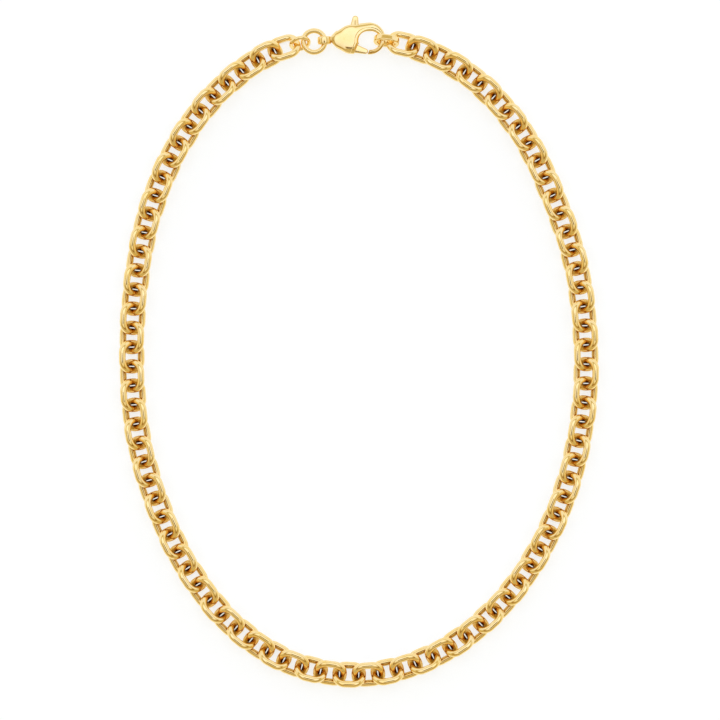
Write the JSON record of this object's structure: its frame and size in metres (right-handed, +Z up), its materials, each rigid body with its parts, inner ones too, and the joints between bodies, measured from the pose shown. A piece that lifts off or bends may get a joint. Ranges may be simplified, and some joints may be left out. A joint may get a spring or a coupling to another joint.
{
  "type": "chain necklace",
  "caption": "Closed neck chain of interlocking rounded wire links that lean by turns, joined by a domed lobster clasp with a spring lever, a round eye ring and a flat-band ring; it lies flat.",
  "frame": {"origin": "on the surface it lies on, under the middle of the whole chain's outline", "axes": "+Y from the bottom of the loop to the clasp, +Z up off the surface, +X to the right seen from above"},
  "size_m": [0.1246, 0.1744, 0.0055],
  "materials": {
    "gold": "polished"
  },
  "bodies": {
    "necklace": {"chain": "gold", "small_ring": "gold", "jump_ring": "gold", "clasp_body": "gold", "lever_pin": "gold", "hook_ring": "gold"},
    "lever": {"clasp_lever": "gold"}
  },
  "joints": [
    {"name": "lever_hinge", "type": "hinge", "parent": "necklace", "child": "lever", "pos_m": [-0.00174, 0.07888, 0.00275], "axis": [0, 0, 1], "range_deg": [0, 36], "stiffness_Nm_per_rad": 0.01}
  ]
}
